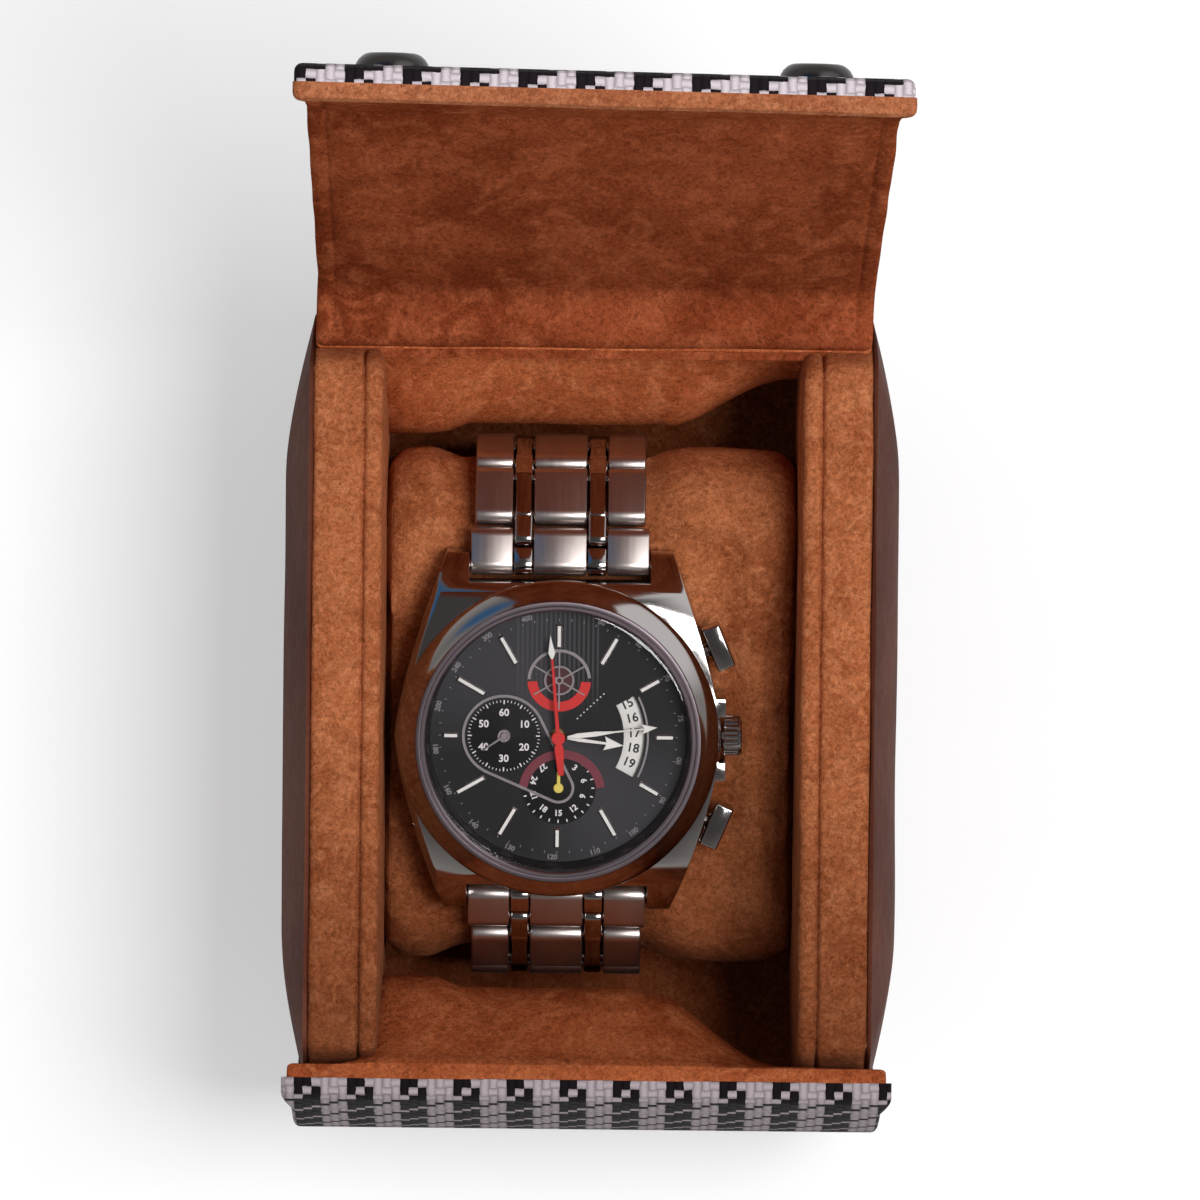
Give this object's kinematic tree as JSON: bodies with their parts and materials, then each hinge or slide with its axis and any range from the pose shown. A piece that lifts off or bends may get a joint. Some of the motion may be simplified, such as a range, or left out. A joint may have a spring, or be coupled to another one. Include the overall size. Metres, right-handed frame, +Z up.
{
  "type": "watch travel case",
  "caption": "Barrel-shaped travel case for one wristwatch: check cloth outside, suede inside, leather sides, folding flap with two capped closures, and a lift-out pillow holding a watch.",
  "frame": {"origin": "middle of the flat base, on the surface it stands on", "axes": "+X to the watch's 3 o'clock side, +Y to the back where the flap hinges, +Z up"},
  "size_m": [0.0818, 0.1375, 0.1927],
  "materials": {
    "check_cloth": "woven black and white check cloth",
    "suede_tan": "napped tan suede",
    "suede_rim": "napped tan suede on the cheeks",
    "leather_brown": "smooth dark brown leather",
    "board": "stiff grey-brown board",
    "foam": "soft foam",
    "gunmetal": "dark polished cap",
    "magnet": "plated disc",
    "polished_steel": "mirror polished steel",
    "brushed_steel": "fine brushed steel",
    "crystal": "clear sapphire",
    "flange_metal": "satin mauve-grey ring",
    "dial_black": "black sunburst lacquer",
    "marker_metal": "faceted bright metal",
    "date_white": "white with black numbers",
    "movement_metal": "plated works",
    "gasket_rubber": "black rubber",
    "hand_red": "red lacquer",
    "hand_yellow": "yellow lacquer"
  },
  "bodies": {
    "case": {"outer_fabric": "check_cloth", "base_board": "board", "front_board": "board", "back_board": "board", "suede_lining": "suede_tan", "front_magnets": "magnet", "cheek_core_left": "foam", "cheek_core_right": "foam", "cheek_gusset_left": "suede_rim", "cheek_gusset_right": "suede_rim", "cheek_lining_left": "suede_rim", "cheek_lining_right": "suede_rim", "leather_side_left": "leather_brown", "leather_side_right": "leather_brown"},
    "flap": {"hinge_strip": "suede_tan", "flap_board": "board", "flap_suede": "suede_tan", "flap_fabric": "check_cloth"},
    "flap_end": {"fold_strip": "suede_tan", "end_board": "board", "end_suede": "suede_tan", "end_fabric": "check_cloth", "closure_caps": "gunmetal", "flap_magnets": "magnet"},
    "watch_on_pillow": {"pillow_core": "foam", "pillow_cover": "suede_rim", "watch_case": "polished_steel", "watch_bezel": "polished_steel", "watch_crystal": "crystal", "dial_flange": "flange_metal", "watch_dial": "dial_black", "hour_markers": "marker_metal", "subdial_rings": "marker_metal", "date_disc": "date_white", "movement": "movement_metal", "case_gasket": "gasket_rubber", "case_back": "brushed_steel", "crown_tube": "brushed_steel", "spring_bars": "brushed_steel", "end_links": "brushed_steel", "bracelet_outer_links": "brushed_steel", "bracelet_centre_links": "brushed_steel", "bracelet_polished_links": "polished_steel", "bracelet_pins": "brushed_steel", "clasp_cover": "polished_steel", "clasp_blades": "brushed_steel"},
    "stem": {"winding_stem": "brushed_steel"},
    "crown": {"crown": "polished_steel"},
    "pusher_top": {"pusher_top": "polished_steel"},
    "pusher_bottom": {"pusher_bottom": "polished_steel"},
    "hour_hand": {"hour_hand": "marker_metal"},
    "minute_hand": {"minute_hand": "marker_metal"},
    "chrono_hand": {"chrono_hand": "hand_red"},
    "small_seconds_hand": {"small_seconds_hand": "marker_metal"},
    "counter_hand": {"counter_hand": "hand_yellow"}
  },
  "joints": [
    {"name": "flap_hinge", "type": "hinge", "parent": "case", "child": "flap", "pos_m": [0, 0.0498, 0.0622], "axis": [1, 0, 0], "range_deg": [0, 101], "deforming": ["hinge_strip"]},
    {"name": "flap_fold", "type": "hinge", "parent": "flap", "child": "flap_end", "pos_m": [0, 0.07358, 0.16266], "axis": [1, 0, 0], "range_deg": [0, 69.5], "deforming": ["fold_strip"]},
    {"name": "pillow_lift", "type": "slide", "parent": "case", "child": "watch_on_pillow", "axis": [0, 0, -1], "range_m": [-0.075, 0]},
    {"name": "crown_pull", "type": "slide", "parent": "watch_on_pillow", "child": "stem", "axis": [1, 0, 0], "range_m": [0, 0.0008]},
    {"name": "crown_turn", "type": "hinge", "parent": "stem", "child": "crown", "pos_m": [0.0188, -0.00367, 0.05423], "axis": [1, 0, 0], "continuous": true},
    {"name": "pusher_top_press", "type": "slide", "parent": "watch_on_pillow", "child": "pusher_top", "axis": [-0.9205, -0.3841, -0.0719], "range_m": [0, 0.0008], "stiffness_N_per_m": 1500, "springref_m": -0.0004},
    {"name": "pusher_bottom_press", "type": "slide", "parent": "watch_on_pillow", "child": "pusher_bottom", "axis": [-0.9205, 0.3841, 0.0719], "range_m": [0, 0.0008], "stiffness_N_per_m": 1500, "springref_m": -0.0004},
    {"name": "minute_turn", "type": "hinge", "parent": "watch_on_pillow", "child": "minute_hand", "pos_m": [-0.0042, -0.00418, 0.05698], "axis": [0, 0.184, -0.9829], "continuous": true},
    {"name": "hour_turn", "type": "hinge", "parent": "watch_on_pillow", "child": "hour_hand", "pos_m": [-0.0042, -0.00409, 0.05649], "axis": [0, 0.184, -0.9829], "continuous": true},
    {"name": "chrono_turn", "type": "hinge", "parent": "watch_on_pillow", "child": "chrono_hand", "pos_m": [-0.0042, -0.00428, 0.05747], "axis": [0, 0.184, -0.9829], "continuous": true},
    {"name": "small_seconds_turn", "type": "hinge", "parent": "watch_on_pillow", "child": "small_seconds_hand", "pos_m": [-0.0114, -0.00404, 0.0562], "axis": [0, 0.184, -0.9829], "continuous": true},
    {"name": "counter_turn", "type": "hinge", "parent": "watch_on_pillow", "child": "counter_hand", "pos_m": [-0.0042, -0.01082, 0.05493], "axis": [0, 0.184, -0.9829], "continuous": true}
  ],
  "couplings": [
    {"joint": "flap_fold", "follows": "flap_hinge", "ratio": 0.688},
    {"joint": "hour_turn", "follows": "minute_turn", "ratio": 0.083333}
  ]
}
